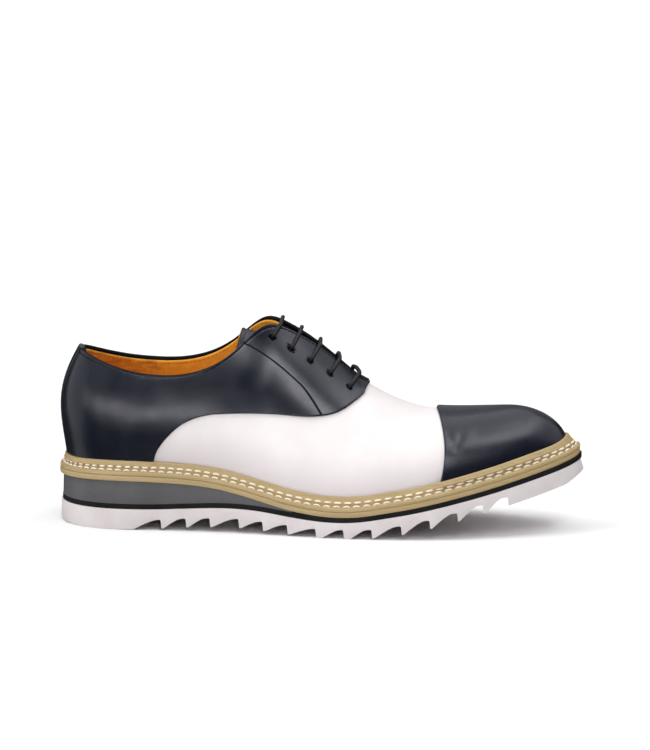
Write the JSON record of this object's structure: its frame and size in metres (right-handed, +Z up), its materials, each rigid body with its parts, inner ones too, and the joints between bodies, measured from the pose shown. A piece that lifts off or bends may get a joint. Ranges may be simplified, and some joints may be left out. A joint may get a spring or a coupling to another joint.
{
  "type": "spectator shoe",
  "caption": "Right-foot two-tone lace-up shoe with closed lacing, straight toe cap, stitched welt and a saw-tooth wedge sole; hollow upper, open at collar and throat.",
  "frame": {"origin": "middle of the footprint's bounding box, on the floor", "axes": "+X towards the toe, +Y towards the medial (inner) side, +Z up"},
  "size_m": [0.3058, 0.111, 0.1217],
  "materials": {
    "outsole_rubber": "pale pinkish white, matte",
    "sole_layer_rubber": "black, matte",
    "wedge_foam": "grey, fine matte",
    "welt_leather": "tan, satin",
    "lining_leather": "orange tan, matte",
    "vamp_leather": "white, satin",
    "overlay_leather": "black, polished",
    "lace_cord": "black, waxed"
  },
  "bodies": {
    "root": {"outsole": "outsole_rubber", "black_sole_layer": "sole_layer_rubber", "heel_wedge": "wedge_foam", "midsole": "welt_leather", "welt": "welt_leather", "insole": "lining_leather", "upper": "vamp_leather", "quarters": "overlay_leather", "toe_cap": "overlay_leather", "tongue": "overlay_leather", "lace_bar_1": "lace_cord", "lace_bar_2": "lace_cord", "lace_bar_3": "lace_cord", "lace_bar_4": "lace_cord", "lace_bar_5": "lace_cord"}
  },
  "joints": []
}
